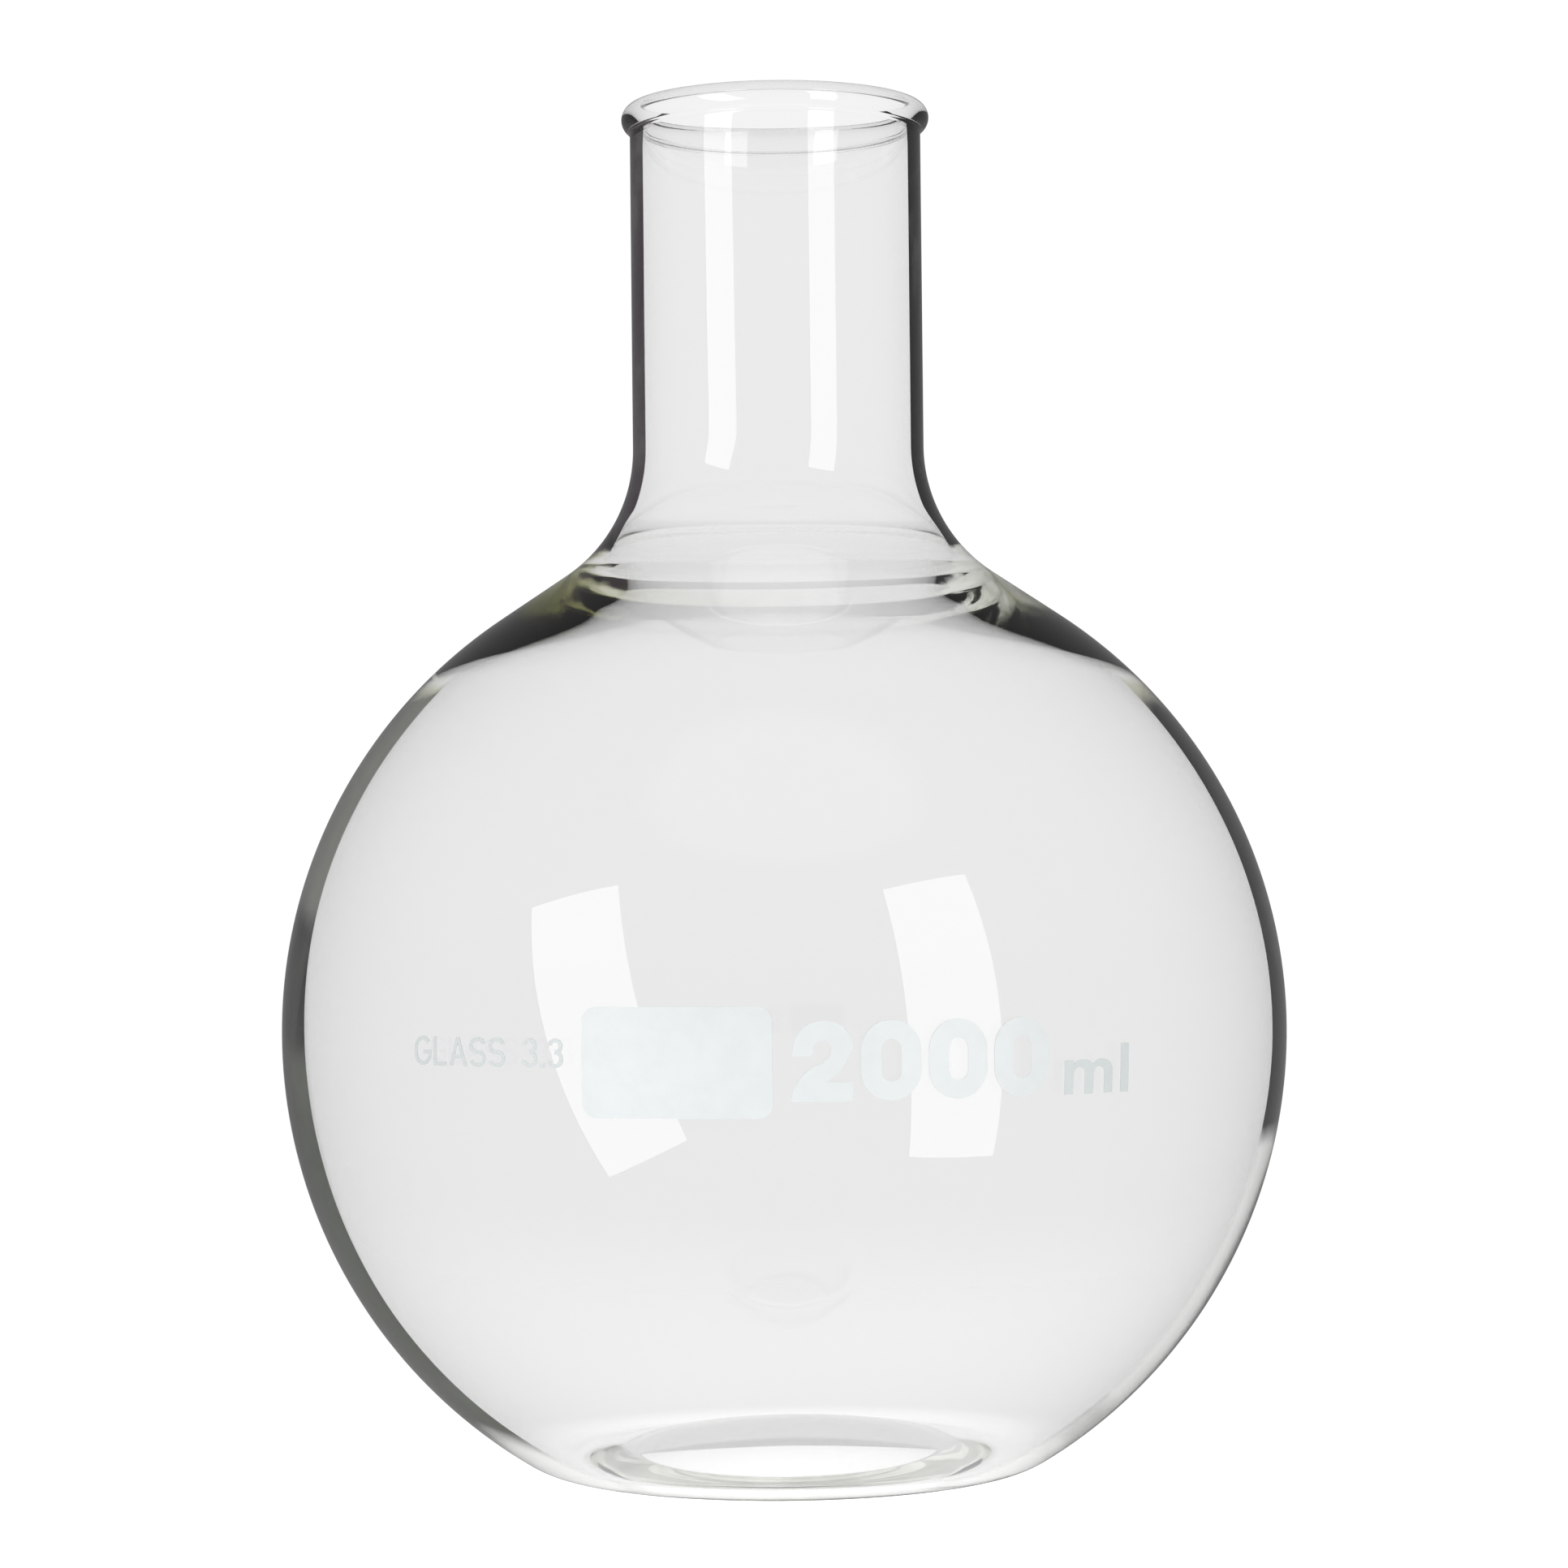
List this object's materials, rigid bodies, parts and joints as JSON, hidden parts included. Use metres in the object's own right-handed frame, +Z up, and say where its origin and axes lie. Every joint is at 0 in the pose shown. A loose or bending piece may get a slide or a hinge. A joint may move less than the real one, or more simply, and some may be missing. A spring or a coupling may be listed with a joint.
{
  "type": "round bottom flask",
  "caption": "Glass boiling flask with a round bulb on a small flat base, straight neck with beaded rim, white enamel writing field and capacity mark.",
  "frame": {"origin": "centre of the ring that the flask stands on", "axes": "+Z up along the neck, -Y through the front of the globe between the writing field and the capacity mark"},
  "size_m": [0.166, 0.1661, 0.2266],
  "materials": {
    "glass": "clear, fire polished",
    "enamel": "white fired enamel, satin"
  },
  "bodies": {
    "root": {"bulb": "glass", "neck": "glass", "writing_field": "enamel", "figure_2": "enamel", "figure_0_first": "enamel", "figure_0_second": "enamel", "figure_0_third": "enamel", "unit_m": "enamel", "unit_l": "enamel", "grade_g": "enamel", "grade_l": "enamel", "grade_a": "enamel", "grade_s_first": "enamel", "grade_s_second": "enamel", "grade_3_first": "enamel", "grade_point": "enamel", "grade_3_second": "enamel"}
  },
  "joints": []
}
